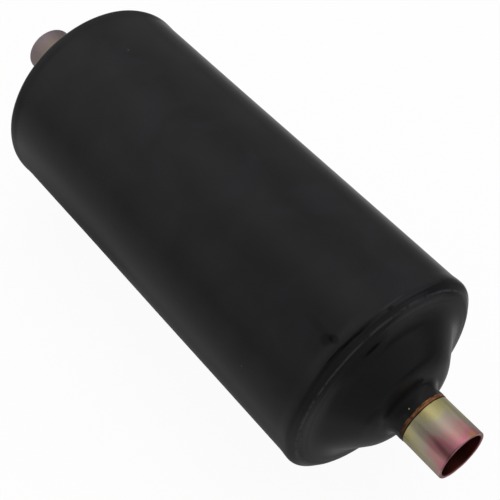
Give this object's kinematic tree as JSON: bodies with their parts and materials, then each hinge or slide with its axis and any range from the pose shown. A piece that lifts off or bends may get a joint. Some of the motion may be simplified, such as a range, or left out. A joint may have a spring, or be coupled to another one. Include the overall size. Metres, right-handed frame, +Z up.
{
  "type": "filter drier",
  "caption": "Black painted steel liquid line filter drier: round body with domed ends, a plated solder socket at each end, moulded core and spring inside.",
  "frame": {"origin": "middle of the body, on the tube's axis", "axes": "+X along the tube's axis towards the outlet, +Z up"},
  "size_m": [0.2274, 0.0768, 0.0768],
  "materials": {
    "paint": "satin black stoving paint",
    "plated_steel": "yellow and pink iridescent passivated plating",
    "braze": "dull copper braze",
    "spring_steel": "drawn spring wire",
    "plain_steel": "bare pressed sheet",
    "felt": "pressed fibre felt",
    "desiccant": "porous moulded block"
  },
  "bodies": {
    "root": {"shell": "paint", "inlet_end_cap": "paint", "outlet_end_cap": "paint", "inlet_seam_weld": "paint", "outlet_seam_weld": "paint", "inlet_fitting": "plated_steel", "outlet_fitting": "plated_steel", "inlet_braze_ring": "braze", "outlet_braze_ring": "braze", "core_spring": "spring_steel", "spring_plate": "plain_steel", "inlet_felt": "felt", "drier_core": "desiccant", "core_gasket": "felt", "filter_pad": "felt", "support_plate": "plain_steel"}
  },
  "joints": []
}
